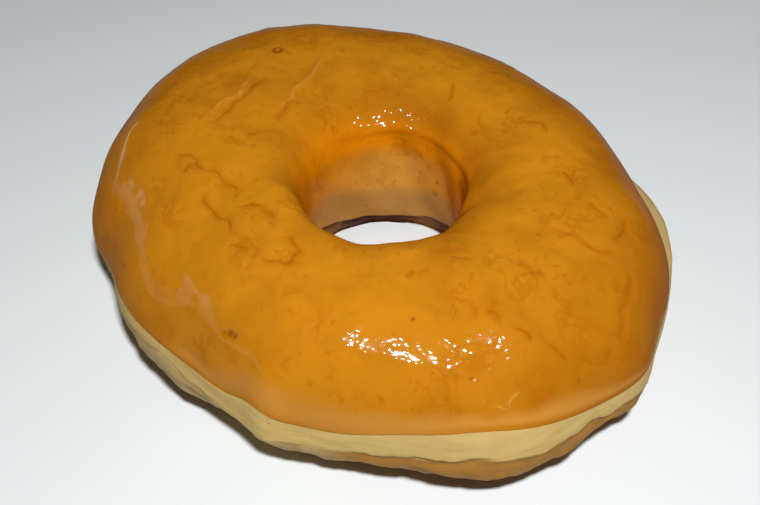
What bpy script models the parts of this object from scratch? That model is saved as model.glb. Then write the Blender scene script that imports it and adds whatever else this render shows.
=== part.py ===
"""A glazed ring doughnut, modelled as one solid ring.

The ring is a torus primitive whose points are moved onto the doughnut's own form. Seen from
above, the outline is a mean radius with broad lobes and blunt corners. Every section through
the ring is made of four quarter curves: under the outer side, over the outer shoulder, over
the shoulder of the hole, and down under the hole. The base between them is flat.

Directions are degrees round the hole, anticlockwise from +X. A turn is degrees round the
section: 0 at the outermost point, 90 at the crest, 180 at the narrowest point of the hole.
Lengths are in millimetres until the points are placed.
"""
import bpy
import numpy as np

MILLIMETRE = 0.001

# Plan: mean radius from the middle of the hole to the outer side
MEAN_RADIUS = 44.0
# Lobes: waves round the ring, size, direction of the first crest
OUTLINE_LOBES = ((1, 5.69, 128.4), (2, 4.23, 172.8), (3, 1.9, 51.2), (4, 1.49, 15.3))
# Bulges: direction, how far they stand out, half width in degrees, as high as the shoulder
OUTLINE_BULGES = ((163.3, 2.2, 20.7), (207.6, 2.1, 8.9), (49.4, -0.98, 10.1))
# Corners: the same, full at the widest line and gone at the crest
OUTLINE_CORNERS = (
    (218.9, 2.99, 7.5),
    (243.0, 7.57, 25.4),
    (289.2, 1.24, 5.0),
    (337.9, 6.5, 20.1),
    (5.7, 2.35, 9.1),
)

# Section: the crest, the widest line round the outside and the quarter curves
CREST_HEIGHT = 27.64
CREST_TILT = ((1, 1.27, 227.8),)
CREST_RADIUS = 23.5
CREST_FOLLOWS_LOBES = 0.6
WIDEST_HEIGHT = 8.8
OUTER_SHOULDER_SQUARENESS = 2.49
UNDERCUT_WIDTH = 15.5
OUTLINE_LOBES_AT_CREST = tuple(
    (waves, CREST_FOLLOWS_LOBES * size, crest) for waves, size, crest in OUTLINE_LOBES
)

# Hole: its narrowest line, the curve above it and the curve below it
HOLE_RADIUS = 13.1
HOLE_OVAL = ((2, 0.64, 108.4),)
NARROWEST_HEIGHT = 18.78
HOLE_SHOULDER_SQUARENESS = 2.64
HOLE_FLARE_WIDTH = 4.16

# Coat edge: where the glaze ends on the outer side, above the pale band
COAT_EDGE_HEIGHT = 12.82
COAT_EDGE_LOBES = ((1, 0.73, 180.0),)
COAT_EDGE_RISES = (
    (331.7, 3.64, 18.8),
    (286.8, 1.76, 6.0),
    (48.0, 0.85, 30.0),
    (219.0, -5.5, 15.0),
)
COAT_THICKNESS = 0.3

# Seam: the groove between the pale band and the browned underside
SEAM_HEIGHT = 7.41
SEAM_RISES = ((334.3, 2.94, 30.0), (254.0, 3.1, 16.0), (218.0, -1.5, 14.0))
SEAM_DEPTH = 0.45
SEAM_HALF_HEIGHT = 0.7

# Ledge: direction, reach and half width of the stretch where the pale band stands out past
# the coat, filling out from the base
LEDGE = (50.0, 2.86, 13.2)
LEDGE_FULL_SHARE = 0.85

# Lip: the raised line round one side of the hole's shoulder, with the direction, height and
# half width of its stretch
LIP_TURN = 149.0
LIP_HALF_TURN = 8.0
LIP_STRETCH = (112.0, 0.45, 60.0)

# Ragged underside: waves of the lower edge, then its nicks and tongues
RAGGED_LOBES = ((7, 0.14, 5.0), (17, 0.12, 11.0), (29, 0.12, 3.0))
RAGGED_NICKS = ((282.0, -1.1, 5.0), (292.0, 0.8, 5.0), (262.0, 0.4, 7.0), (318.0, -0.4, 6.0))

# The raggedness starts this many degrees of turn above the base and fades below the seam
RAGGED_START = 35.0
RAGGED_FADE = 12.0

# Swells: low waves over the coat, as waves round the ring, waves round the section and size
SWELLS = ((5, 2, 0.16), (9, 3, 0.12), (13, 5, 0.08))
SWELL_FADE = 15.0

# Creases: points as (direction, turn), height of the ridge and half width
CREASES = (
    (((146, 80), (153, 86), (165, 105), (174, 111), (188, 116)), 0.5, 1.7),
    (((165, 81), (180, 85), (195, 87), (206, 78)), -0.35, 1.6),
    (((18, 49), (14, 44), (9, 42), (3, 35)), -0.45, 1.6),
    (((342, 92), (348, 83)), -0.4, 1.8),
    (((248, 74), (258, 85), (267, 83)), 0.35, 1.5),
    (((105, 87), (104, 113)), -0.3, 1.5),
)

# Mesh: directions round the ring, and rows in each stretch of the section
DIRECTIONS = 120
UNDERCUT_ROWS = 6
BAND_ROWS = 2
OUTER_SHOULDER_ROWS = 10
HOLE_SHOULDER_ROWS = 10
HOLE_FLARE_ROWS = 5
COATED_FLARE_ROWS = 3
COAT_STEP_HEIGHT = 0.25
TURN_STEP = 0.01
SMOOTH_ANGLE = 50.0

# Surfaces: name, colour, roughness and clear coat
SURFACES = (
    ("glaze_coat", (0.60, 0.235, 0.012, 1.0), 0.3, 0.6),
    ("pale_band", (0.62, 0.46, 0.17, 1.0), 0.5, 0.1),
    ("browned_dough", (0.36, 0.20, 0.06, 1.0), 0.7, 0.0),
)


def varied(direction, mean, lobes=(), bumps=()):
    """A size that varies round the ring: its mean, whole waves, and bumps at given directions."""
    value = np.full(np.shape(direction), float(mean))
    for waves, size, crest in lobes:
        value = value + size * np.cos(waves * (direction - np.radians(crest)))
    for centre, size, half_width in bumps:
        away = (direction - np.radians(centre) + np.pi) % (2 * np.pi) - np.pi
        value = value + size * np.exp(-(away / np.radians(half_width)) ** 2)
    return value


def outline_radius(direction, turn):
    """The outline at a turn: its corners are full up to the widest line and gone at the crest."""
    corners = varied(direction, 0, (), OUTLINE_CORNERS)
    fading = np.cos(np.clip(turn, 0, np.pi / 2)) ** 2
    return varied(direction, MEAN_RADIUS, OUTLINE_LOBES, OUTLINE_BULGES) + corners * fading


def crest_height(direction):
    return varied(direction, CREST_HEIGHT, CREST_TILT)


def coat_edge_height(direction):
    return varied(direction, COAT_EDGE_HEIGHT, COAT_EDGE_LOBES, COAT_EDGE_RISES)


def seam_height(direction):
    return varied(direction, SEAM_HEIGHT, (), SEAM_RISES)


def quarter_curve(turn, squareness):
    """The two shares, 0 to 1, along and up a quarter of a rounded square."""
    along = np.abs(np.cos(turn))
    up = np.abs(np.sin(turn))
    reach = (along ** squareness + up ** squareness) ** (-1 / squareness)
    return along * reach, up * reach


def turn_at_height(direction, height):
    """The turn at which the outer side reaches a height, up to the shoulder."""
    below = -np.arcsin(np.clip(1 - height / WIDEST_HEIGHT, 0, 1))
    share = np.clip((height - WIDEST_HEIGHT) / (crest_height(direction) - WIDEST_HEIGHT), 0, 1)
    across = (1 - share ** OUTER_SHOULDER_SQUARENESS) ** (1 / OUTER_SHOULDER_SQUARENESS)
    return np.where(height < WIDEST_HEIGHT, below, np.arctan2(share, across))


def plain_section(direction, turn):
    """Radius and height of the smooth form at a direction and a turn."""
    outside = outline_radius(direction, turn)
    top = crest_height(direction)
    hole = varied(direction, HOLE_RADIUS, HOLE_OVAL)
    crest = varied(direction, CREST_RADIUS, OUTLINE_LOBES_AT_CREST)
    round_along, round_up = quarter_curve(turn, 2)
    outer_along, outer_up = quarter_curve(turn, OUTER_SHOULDER_SQUARENESS)
    hole_along, hole_up = quarter_curve(turn, HOLE_SHOULDER_SQUARENESS)
    stretches = [turn < 0, turn <= np.pi / 2, turn <= np.pi]
    radius = np.select(stretches, [
        outside - UNDERCUT_WIDTH * (1 - round_along),
        crest + (outside - crest) * outer_along,
        crest - (crest - hole) * hole_along,
    ], hole + HOLE_FLARE_WIDTH * (1 - round_along))
    height = np.select(stretches, [
        WIDEST_HEIGHT * (1 - round_up),
        WIDEST_HEIGHT + (top - WIDEST_HEIGHT) * outer_up,
        NARROWEST_HEIGHT + (top - NARROWEST_HEIGHT) * hole_up,
    ], NARROWEST_HEIGHT * (1 - round_up))
    return radius, height


def points_on_form(direction, turn):
    radius, height = plain_section(direction, turn)
    return np.stack([radius * np.cos(direction), radius * np.sin(direction), height], -1)


def outward(direction, turn):
    """The way out of the surface, as its share along the radius and its share upward."""
    step = TURN_STEP
    radius_before, height_before = plain_section(direction, np.maximum(turn - step, -np.pi / 2))
    radius_after, height_after = plain_section(direction, np.minimum(turn + step, 1.5 * np.pi))
    along = height_after - height_before
    up = radius_before - radius_after
    length = np.hypot(along, up)
    return along / length, up / length


def distance_to_line(points, line):
    """The distance from each point to a broken line."""
    nearest = np.full(points.shape[:-1], np.inf)
    for start, end in zip(line[:-1], line[1:]):
        run = end - start
        share = np.clip((points - start) @ run / (run @ run), 0, 1)
        gap = np.linalg.norm(points - start - share[..., None] * run, axis=-1)
        nearest = np.minimum(nearest, gap)
    return nearest


def relief(direction, turn, points):
    """How far the real surface stands out of the smooth form."""
    seam = turn_at_height(direction, seam_height(direction))
    coat_edge = turn_at_height(direction, coat_edge_height(direction))
    over_coat = np.clip((turn - coat_edge) / np.radians(SWELL_FADE), 0, 1)
    over_coat = over_coat * np.clip((np.pi - turn) / np.radians(SWELL_FADE), 0, 1)
    under_edge = np.clip((turn - seam) / (coat_edge - seam), 0, 1)
    height = np.where(turn < coat_edge, -COAT_THICKNESS * under_edge, 0.0)
    for round_ring, round_section, size in SWELLS:
        height = height + over_coat * size * np.sin(round_ring * direction + round_section * turn)
    for line, size, half_width in CREASES:
        ends = np.radians(np.array(line, float))
        gap = distance_to_line(points, points_on_form(ends[:, 0], ends[:, 1]))
        height = height + size * np.exp(-(gap / half_width) ** 2)
    lip = np.exp(-((turn - np.radians(LIP_TURN)) / np.radians(LIP_HALF_TURN)) ** 2)
    height = height + lip * varied(direction, 0, (), (LIP_STRETCH,))
    below_seam = np.clip((seam - turn) / np.radians(RAGGED_FADE), 0, 1)
    above_base = np.clip((turn + np.pi / 2) / np.radians(RAGGED_START), 0, 1)
    height = height + below_seam * above_base * varied(direction, 0, RAGGED_LOBES, RAGGED_NICKS)
    return height


def ledge_reach(direction, turn):
    """How far the pale band stands out sideways past the coat."""
    coat_edge = turn_at_height(direction, coat_edge_height(direction))
    share = (turn + np.pi / 2) / (coat_edge + np.pi / 2) / LEDGE_FULL_SHARE
    fullness = (1 - np.cos(np.clip(share, 0, 1) * np.pi)) / 2
    return np.where(turn <= coat_edge, varied(direction, 0, (), (LEDGE,)) * fullness, 0)


def row_turns(direction):
    """The turns of the rows at one direction, up the outer side and down the hole."""
    seam_middle = seam_height(direction)
    edge = coat_edge_height(direction)
    seam_low = turn_at_height(direction, seam_middle - SEAM_HALF_HEIGHT)
    seam_high = turn_at_height(direction, seam_middle + SEAM_HALF_HEIGHT)
    edge_low = turn_at_height(direction, edge - COAT_STEP_HEIGHT)
    edge_high = turn_at_height(direction, edge + COAT_STEP_HEIGHT)
    quarter = np.pi / 2
    return np.concatenate([
        np.linspace(-quarter, seam_low, UNDERCUT_ROWS),
        [turn_at_height(direction, seam_middle)],
        np.linspace(seam_high, edge_low, BAND_ROWS + 1),
        np.linspace(edge_high, quarter, OUTER_SHOULDER_ROWS, endpoint=False),
        np.linspace(quarter, 2 * quarter, HOLE_SHOULDER_ROWS, endpoint=False),
        np.linspace(2 * quarter, 3 * quarter, HOLE_FLARE_ROWS + 1),
    ])


SEAM_ROW = UNDERCUT_ROWS
COAT_ROW = UNDERCUT_ROWS + BAND_ROWS + 2
HOLE_ROW = COAT_ROW + OUTER_SHOULDER_ROWS + HOLE_SHOULDER_ROWS
ROWS = HOLE_ROW + HOLE_FLARE_ROWS + 1


def ring_points():
    """All points of the ring in millimetres, one line of rows for each direction."""
    directions = np.linspace(0, 2 * np.pi, DIRECTIONS, endpoint=False)
    turns = np.array([row_turns(direction) for direction in directions])
    direction = np.repeat(directions[:, None], ROWS, axis=1)
    radius, height = plain_section(direction, turns)
    out_along, out_up = outward(direction, turns)
    raised = relief(direction, turns, points_on_form(direction, turns))
    raised[:, SEAM_ROW] -= SEAM_DEPTH
    flat = [0, ROWS - 1]
    raised[:, flat] = 0
    radius = radius + raised * out_along + ledge_reach(direction, turns)
    height = height + raised * out_up
    height = np.maximum(height, 0)
    height[:, flat] = 0
    points = np.stack([radius * np.cos(direction), radius * np.sin(direction), height], -1)
    middle = (points.max(axis=(0, 1)) + points.min(axis=(0, 1))) / 2
    points[..., :2] -= middle[:2]
    return points


def principled(name, colour, roughness, coat):
    material = bpy.data.materials.new(name)
    material.use_nodes = True
    shader = material.node_tree.nodes["Principled BSDF"]
    shader.inputs["Base Color"].default_value = colour
    shader.inputs["Metallic"].default_value = 0.0
    shader.inputs["Roughness"].default_value = roughness
    shader.inputs["Coat Weight"].default_value = coat
    material.diffuse_color = colour
    return material


def add_ring():
    """The torus primitive, moved point by point onto the doughnut's form."""
    bpy.ops.mesh.primitive_torus_add(
        major_segments=DIRECTIONS,
        minor_segments=ROWS,
        major_radius=CREST_RADIUS * MILLIMETRE,
        minor_radius=HOLE_RADIUS / 2 * MILLIMETRE,
    )
    ring = bpy.context.object
    ring.name = "doughnut"
    mesh = ring.data
    mesh.name = "doughnut"
    points = ring_points() * MILLIMETRE
    mesh.vertices.foreach_set("co", points.reshape(-1))
    mesh.update()
    return ring


def paint_ring(ring):
    """Coat over the top and down the hole, pale band round the side, browned dough below."""
    mesh = ring.data
    for surface in SURFACES:
        mesh.materials.append(principled(*surface))
    for polygon in mesh.polygons:
        row = min(vertex % ROWS for vertex in polygon.vertices)
        wraps = max(vertex % ROWS for vertex in polygon.vertices) - row > 1
        if wraps or row < SEAM_ROW or row >= HOLE_ROW + COATED_FLARE_ROWS:
            polygon.material_index = 2
        elif row < COAT_ROW - 1:
            polygon.material_index = 1
    mesh.shade_smooth()
    mesh.set_sharp_from_angle(angle=np.radians(SMOOTH_ANGLE))


def main():
    for leftover in list(bpy.data.objects):
        bpy.data.objects.remove(leftover, do_unlink=True)
    collection = bpy.data.collections.new("doughnut")
    bpy.context.scene.collection.children.link(collection)
    ring = add_ring()
    paint_ring(ring)
    for holder in list(ring.users_collection):
        holder.objects.unlink(ring)
    collection.objects.link(ring)


main()
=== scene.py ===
# %% [markdown]
# # Dressing a glazed ring doughnut
#
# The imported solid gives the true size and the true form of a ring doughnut. This lesson makes
# what can be seen of it: a dough body with a pale band and a browned underside, and a glossy
# orange coat that lies over the top and runs down into the hole. Lengths are in millimetres
# until a mesh is made. A direction is an angle round the hole, anticlockwise from +X. A turn is
# an angle round the section: 0 at the outermost point, 90 at the crest, 180 at the narrowest
# point of the hole, and -90 and 270 at the outer and the inner rim of the base.

import bpy
import numpy as np
from mathutils import Matrix, Vector, noise


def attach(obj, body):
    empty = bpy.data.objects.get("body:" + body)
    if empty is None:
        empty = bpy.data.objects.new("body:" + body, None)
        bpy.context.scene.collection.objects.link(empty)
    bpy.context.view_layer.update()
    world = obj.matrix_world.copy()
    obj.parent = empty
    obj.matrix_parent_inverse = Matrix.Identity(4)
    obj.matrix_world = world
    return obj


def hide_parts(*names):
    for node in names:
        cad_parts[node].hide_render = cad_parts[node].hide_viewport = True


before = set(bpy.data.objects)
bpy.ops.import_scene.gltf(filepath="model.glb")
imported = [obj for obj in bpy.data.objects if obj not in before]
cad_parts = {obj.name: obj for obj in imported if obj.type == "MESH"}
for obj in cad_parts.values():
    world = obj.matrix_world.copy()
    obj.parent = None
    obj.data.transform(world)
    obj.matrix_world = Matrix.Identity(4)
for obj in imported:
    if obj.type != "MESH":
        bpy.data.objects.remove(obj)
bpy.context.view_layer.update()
MILLIMETRE = 0.001

# %% [markdown]
# ## The form of the ring
#
# A torus would be too even for this doughnut. Its outline is a mean radius with broad lobes,
# bulges and blunt corners, and its section is made of quarter curves, so a handful of sizes
# holds the whole form. They are the sizes of the solid, so the two stay together.

# %% The named sizes of the form
HOLE_MIDDLE = (3.98, -2.32)
MEAN_RADIUS = 44.0
OUTLINE_LOBES = ((1, 5.69, 128.4), (2, 4.23, 172.8), (3, 1.9, 51.2), (4, 1.49, 15.3))
OUTLINE_BULGES = ((163.3, 2.2, 20.7), (207.6, 2.1, 8.9), (49.4, -0.98, 10.1))
OUTLINE_CORNERS = (
    (218.9, 2.99, 7.5),
    (243.0, 7.57, 25.4),
    (289.2, 1.24, 5.0),
    (337.9, 6.5, 20.1),
    (5.7, 2.35, 9.1),
)
CREST_HEIGHT = 27.64
CREST_TILT = ((1, 1.27, 227.8),)
CREST_RADIUS = 23.5
CREST_FOLLOWS_LOBES = 0.6
OUTLINE_LOBES_AT_CREST = tuple(
    (waves, CREST_FOLLOWS_LOBES * size, crest) for waves, size, crest in OUTLINE_LOBES
)
WIDEST_HEIGHT = 8.8
OUTER_SHOULDER_SQUARENESS = 2.49
UNDERCUT_WIDTH = 15.5
HOLE_RADIUS = 13.1
HOLE_OVAL = ((2, 0.64, 108.4),)
NARROWEST_HEIGHT = 18.78
HOLE_SHOULDER_SQUARENESS = 2.64
HOLE_FLARE_WIDTH = 4.16
OUTER_RIM = -np.pi / 2
CREST = np.pi / 2
NARROWEST = np.pi
INNER_RIM = 1.5 * np.pi


# %% How a size varies round the ring
def bell(away, half_width):
    """1 where the distance is 0, falling off softly on both sides."""
    return np.exp(-(away / half_width) ** 2)


def varied(direction, mean, lobes=(), bumps=()):
    """A size round the ring: its mean, whole waves, and bumps at given directions."""
    value = np.full(np.shape(direction), float(mean))
    for waves, size, crest in lobes:
        value = value + size * np.cos(waves * (direction - np.radians(crest)))
    for centre, size, half_width in bumps:
        away = (direction - np.radians(centre) + np.pi) % (2 * np.pi) - np.pi
        value = value + size * bell(away, np.radians(half_width))
    return value


def only_at(direction, *bumps):
    """0 round the ring, apart from bumps as (centre, size, half width)."""
    return varied(direction, 0, (), bumps)


def quarter_curve(turn, squareness):
    """The two shares, 0 to 1, along and up a quarter of a rounded square."""
    along = np.abs(np.cos(turn))
    up = np.abs(np.sin(turn))
    reach = (along ** squareness + up ** squareness) ** (-1 / squareness)
    return along * reach, up * reach


widths = varied(np.radians(np.arange(360)), MEAN_RADIUS, OUTLINE_LOBES, OUTLINE_BULGES)
print("outline radius in mm:", round(widths.min(), 1), "to", round(widths.max(), 1))


# %% The smooth section at any direction
def crest_height(direction):
    return varied(direction, CREST_HEIGHT, CREST_TILT)


def plain_section(direction, turn):
    """Radius and height of the smooth form at a direction and a turn."""
    corners = only_at(direction, *OUTLINE_CORNERS)
    outside = varied(direction, MEAN_RADIUS, OUTLINE_LOBES, OUTLINE_BULGES)
    outside = outside + corners * np.cos(np.clip(turn, 0, CREST)) ** 2
    top = crest_height(direction)
    hole = varied(direction, HOLE_RADIUS, HOLE_OVAL)
    crest = varied(direction, CREST_RADIUS, OUTLINE_LOBES_AT_CREST)
    round_along, round_up = quarter_curve(turn, 2)
    outer_along, outer_up = quarter_curve(turn, OUTER_SHOULDER_SQUARENESS)
    hole_along, hole_up = quarter_curve(turn, HOLE_SHOULDER_SQUARENESS)
    stretches = [turn < 0, turn <= CREST, turn <= NARROWEST]
    radius = np.select(stretches, [
        outside - UNDERCUT_WIDTH * (1 - round_along),
        crest + (outside - crest) * outer_along,
        crest - (crest - hole) * hole_along,
    ], hole + HOLE_FLARE_WIDTH * (1 - round_along))
    height = np.select(stretches, [
        WIDEST_HEIGHT * (1 - round_up),
        WIDEST_HEIGHT + (top - WIDEST_HEIGHT) * outer_up,
        NARROWEST_HEIGHT + (top - NARROWEST_HEIGHT) * hole_up,
    ], NARROWEST_HEIGHT * (1 - round_up))
    return radius, height


# %% The way out of the surface, and a point on it
TURN_STEP = 0.01


def outward(direction, turn):
    """The way out of the surface, as its share along the radius and its share upward."""
    radius_before, height_before = plain_section(direction, np.maximum(turn - TURN_STEP, OUTER_RIM))
    radius_after, height_after = plain_section(direction, np.minimum(turn + TURN_STEP, INNER_RIM))
    along = height_after - height_before
    up = radius_before - radius_after
    length = np.hypot(along, up)
    return along / length, up / length


def placed(direction, turn, raised=0.0, ahead=0.0, sideways=0.0):
    """Points in the part's frame: on the form, raised off it, or moved ahead along it or sideways."""
    radius, height = plain_section(direction, turn)
    out_along, out_up = outward(direction, turn)
    radius = radius + raised * out_along - ahead * out_up + sideways
    height = height + raised * out_up + ahead * out_along
    across = HOLE_MIDDLE[0] + radius * np.cos(direction)
    back = HOLE_MIDDLE[1] + radius * np.sin(direction)
    return np.stack([across, back, height], -1)


def gap_to(points, direction, turn):
    """Millimetres from each point to a place on the form, given in degrees."""
    return np.linalg.norm(points - placed(np.radians(direction), np.radians(turn)), axis=-1)


highest = np.radians(CREST_TILT[0][2])
print("highest point of the crest in mm:", placed(highest, CREST).round(1))

# %% [markdown]
# ## Where the coat ends
#
# The coat stops above a pale band that it never reached, and a brown seam runs below the band.
# Both lines rise and fall round the ring, so each is a height that varies with direction. The
# turn at that height is found from the section's own curve.

# %% The edge of the coat and the seam
COAT_EDGE_HEIGHT = 12.82
COAT_EDGE_LOBES = ((1, 0.73, 180.0), (9, 0.1, 20.0), (14, 0.08, 7.0), (23, 0.06, 3.0))
COAT_EDGE_RISES = ((331.7, 3.64, 18.8), (286.8, 1.76, 6.0), (48.0, 0.85, 30.0), (219.0, -5.5, 15.0))
SEAM_HEIGHT = 7.41
SEAM_RISES = ((334.3, 2.94, 30.0), (254.0, 3.1, 16.0), (218.0, -1.5, 14.0))
SEAM_LOBES = ((11, 0.2, 3.0), (19, 0.15, 9.0), (31, 0.12, 4.0), (47, 0.08, 2.0))


def turn_at_height(direction, height):
    """The turn at which the outer side reaches a height, up to the shoulder."""
    below = -np.arcsin(np.clip(1 - height / WIDEST_HEIGHT, 0, 1))
    share = np.clip((height - WIDEST_HEIGHT) / (crest_height(direction) - WIDEST_HEIGHT), 0, 1)
    across = (1 - share ** OUTER_SHOULDER_SQUARENESS) ** (1 / OUTER_SHOULDER_SQUARENESS)
    return np.where(height < WIDEST_HEIGHT, below, np.arctan2(share, across))


def coat_edge_turn(direction):
    height = varied(direction, COAT_EDGE_HEIGHT, COAT_EDGE_LOBES, COAT_EDGE_RISES)
    return turn_at_height(direction, height)


def seam_turn(direction):
    return turn_at_height(direction, varied(direction, SEAM_HEIGHT, SEAM_LOBES, SEAM_RISES))


FRONT = np.radians(315.0)
print("coat edge turn at the front in degrees:", np.degrees(coat_edge_turn(FRONT)).round(1))

# %% [markdown]
# ## Rows of equal length
#
# The fine mesh has to be even, or the gloss would show where its faces are long. Equal turns
# give uneven steps, so the rows are spaced by the length of the section, measured on the curve.

# %% Turns at equal steps along the section
MEASURING_STEPS = 240


def length_along(direction, turns):
    """Millimetres along the section from the first row of each direction."""
    radius, height = plain_section(direction, turns)
    steps = np.hypot(np.diff(radius, axis=1), np.diff(height, axis=1))
    return np.concatenate([np.zeros((len(turns), 1)), np.cumsum(steps, axis=1)], axis=1)


def even_turns(directions, start, end, count):
    """Turns from start to end at equal steps along the section, a line for each direction."""
    share = np.linspace(0, 1, MEASURING_STEPS)
    turns = start[:, None] + (end - start)[:, None] * share
    lengths = length_along(directions[:, None] + 0 * turns, turns)
    wanted = np.linspace(0, 1, count)
    return np.array([np.interp(wanted * run[-1], run, line) for run, line in zip(lengths, turns)])


# %% Soft lumps of any size, and soft steps
def lumps(points, size, seed=0.0):
    """Smooth noise from about -1 to 1 at each point, with lumps of a size in millimetres."""
    flat = (points.reshape(-1, 3) / size + seed).tolist()
    return np.array([noise.noise(Vector(point)) for point in flat]).reshape(points.shape[:-1]) * 2


def lumpy(points, *layers):
    """The sum of layers of soft lumps, each as (rise, size, seed)."""
    return sum(rise * lumps(points, size, seed) for rise, size, seed in layers)


def smooth_step(value, low, high):
    """Eases from 0 at low to 1 at high."""
    share = np.clip((value - low) / (high - low), 0, 1)
    return share * share * (3 - 2 * share)


def between(value, low, risen, falling, high):
    """Eases up to 1 from low to risen, and down again from falling to high."""
    return smooth_step(value, low, risen) * (1 - smooth_step(value, falling, high))


# %% [markdown]
# ## Folds and creases of the coat
#
# The coat set with short folds in it. Each is a line on the form: a positive height is a ridge,
# a negative one a groove with a low lip along its left side. The mesh is raised by the distance
# to the line. That distance is also kept on the points with a sign for the side, because it
# runs evenly through zero, so the material can draw a line much thinner than a face.

# %% The folds: points as (direction, turn), height, half width and share of dark orange
FOLDS = (
    (((152, 82), (157, 91), (163, 102), (174, 112), (184, 115)), 0.2, 0.4, 0.0),
    (((176, 114), (186, 118), (192, 118)), -0.12, 0.5, 0.8),
    (((170, 81), (182, 87), (189, 89), (195, 85), (200, 82)), 0.12, 0.5, 0.0),
    (((174, 90), (178, 91), (186, 93), (196, 90), (202, 87), (208, 79)), -0.14, 0.6, 1.0),
    (((216, 62), (219, 68), (223, 69), (230, 75), (238, 77), (246, 73)), -0.1, 0.5, 0.9),
    (((222, 66), (226, 64)), -0.08, 0.4, 0.9),
    (((236, 64), (242, 63), (252, 66), (261, 65)), -0.12, 0.5, 1.0),
    (((249, 73), (250, 78), (254, 82), (260, 84), (268, 82)), -0.12, 0.5, 1.0),
    (((272, 81), (275, 84), (282, 83), (283, 78), (280, 73), (274, 69), (269, 68)), -0.12, 0.5, 1.0),
    (((260, 60), (264, 64), (267, 69)), -0.1, 0.5, 0.8),
    (((74, 83), (69, 77), (62, 75)), -0.08, 0.7, 0.8),
    (((46, 81), (44, 78), (37, 76)), -0.08, 0.7, 0.9),
    (((33, 72), (30, 68), (27, 61)), -0.08, 0.7, 0.7),
    (((33, 55), (27, 56), (21, 58)), -0.14, 0.6, 1.0),
    (((16, 77), (18, 73), (16, 62), (20, 55)), -0.08, 0.6, 0.9),
    (((353, 70), (357, 69), (1, 67)), -0.06, 0.5, 0.9),
    (((322, 81), (326, 84)), -0.1, 0.4, 0.9),
    (((326, 81), (330, 83)), -0.08, 0.4, 0.6),
    (((340, 60), (342, 59), (342, 55)), -0.12, 0.5, 1.0),
    (((344, 53), (346, 50), (347, 46)), -0.12, 0.6, 1.0),
    (((350, 46), (351, 40), (351, 36)), -0.16, 0.6, 1.0),
    (((353, 36), (355, 33), (358, 32), (361, 31)), -0.14, 0.6, 0.9),
    (((378, 51), (375, 43), (369, 42), (365, 36), (362, 33)), -0.2, 0.6, 0.9),
    (((334, 30), (338, 31), (341, 34)), 0.1, 0.4, 0.0),
    (((106, 88), (104, 101), (104, 113)), -0.1, 0.6, 0.9),
    (((82, 112), (80, 125)), -0.1, 0.6, 0.9),
    (((341, 89), (346, 83)), -0.15, 0.7, 0.6),
)
SIDE_REACH = 3.0
FADING_SHARE = 0.25
FOLD_LIP_SHARE = 0.4
FOLD_LIP_AWAY = 1.1
SWAY = (2.5, 0.5, (3.0, 9.0))
JITTER = (1.1, 0.1, (2.0, 6.0))
MARK_REACH = (0.9, 1.6)
print(len(FOLDS), "folds")


def nearest_on_line(points, line):
    """The signed distance to a broken line, plus on its left, and the share along it, 0 to 1."""
    gap = np.full(points.shape[:-1], np.inf)
    signed = gap.copy()
    along = np.zeros(gap.shape)
    for count, (start, end) in enumerate(zip(line[:-1], line[1:])):
        run = end - start
        away = points - start
        share = np.clip(away @ run / (run @ run), 0, 1)
        here = np.linalg.norm(away - share[..., None] * run, axis=-1)
        left = np.where(run[0] * away[..., 1] > run[1] * away[..., 0], 1.0, -1.0)
        closer = here < gap
        signed = np.where(closer, here * left, signed)
        along = np.where(closer, (count + share) / (len(line) - 1), along)
        gap = np.minimum(gap, here)
    return signed, along


def sideways_lumps(points, size, reach, seeds):
    """Moves across and back by soft lumps, so that a straight line on the points wanders."""
    moves = [lumps(points, size, seed) for seed in seeds]
    return reach * np.stack([*moves, 0 * moves[0]], -1)


def folds_of(points):
    """At each point: height of all folds, signed distance to the nearest, dark share and painted
    highlight share.
    """
    height = np.zeros(points.shape[:-1])
    nearest = np.full(height.shape, SIDE_REACH)
    dark = np.zeros(height.shape)
    light = np.zeros(height.shape)
    wandering = points + sideways_lumps(points, *SWAY) + sideways_lumps(points, *JITTER)
    for line, size, half_width, darkness in FOLDS:
        ends = np.radians(np.array(line, float))
        signed, along = nearest_on_line(wandering, placed(ends[:, 0], ends[:, 1]))
        taper = smooth_step(np.minimum(along, 1 - along), 0.0, FADING_SHARE)
        profile = size * bell(signed, half_width)
        if size < 0:
            profile = profile - FOLD_LIP_SHARE * size * bell(signed - FOLD_LIP_AWAY, half_width)
        height += taper * profile
        closer = np.abs(signed) < np.abs(nearest)
        nearest = np.where(closer, signed, nearest)
        dark = np.where(closer, taper * darkness, dark)
        light = np.where(closer, taper * (size > 0), light)
    beside = 1 - smooth_step(np.abs(nearest), *MARK_REACH)
    return height, nearest, dark * beside, light * beside


# %% [markdown]
# Small pits and specks were cast in with the coat. One of them is a burst bubble: a low dome in
# a dark ring. Where the highlights spread out, the coat has low broad domes.

# %% Pits: direction, turn, depth, half width and darkness. Domes: direction, turn, rise, half width
PITS = (
    (276.3, 37.2, 0.15, 0.4, 0.6),
    (277.6, 38.2, 0.35, 0.5, 0.9),
    (279.0, 38.4, 0.3, 0.4, 0.8),
    (12, 83, 0.15, 0.22, 0.7),
    (322, 61, 0.2, 0.24, 0.9),
    (189, 78, 0.12, 0.26, 0.4),
    (352, 28, 0.15, 0.24, 0.5),
    (332, 40, 0.2, 0.3, 0.5),
    (299, 33, 0.12, 0.26, 0.4),
    (257, 36, 0.12, 0.26, 0.4),
    (224, 51, 0.1, 0.26, 0.4),
    (93, 191, 0.1, 0.4, 0.5),
    (95, 200, 0.1, 0.5, 0.5),
)
DOMES = (
    (305, 52, 0.22, 3.0),
    (341, 50, 0.25, 3.0),
    (123, 137, 0.15, 2.2),
    (136, 139, 0.15, 2.5),
    (148, 138, 0.12, 2.0),
)
BUBBLE = (164, 75, 0.3, 0.4)
BUBBLE_RING = (0.7, 0.3, 0.8)
print(len(PITS), "pits and", len(DOMES), "domes")


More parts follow.
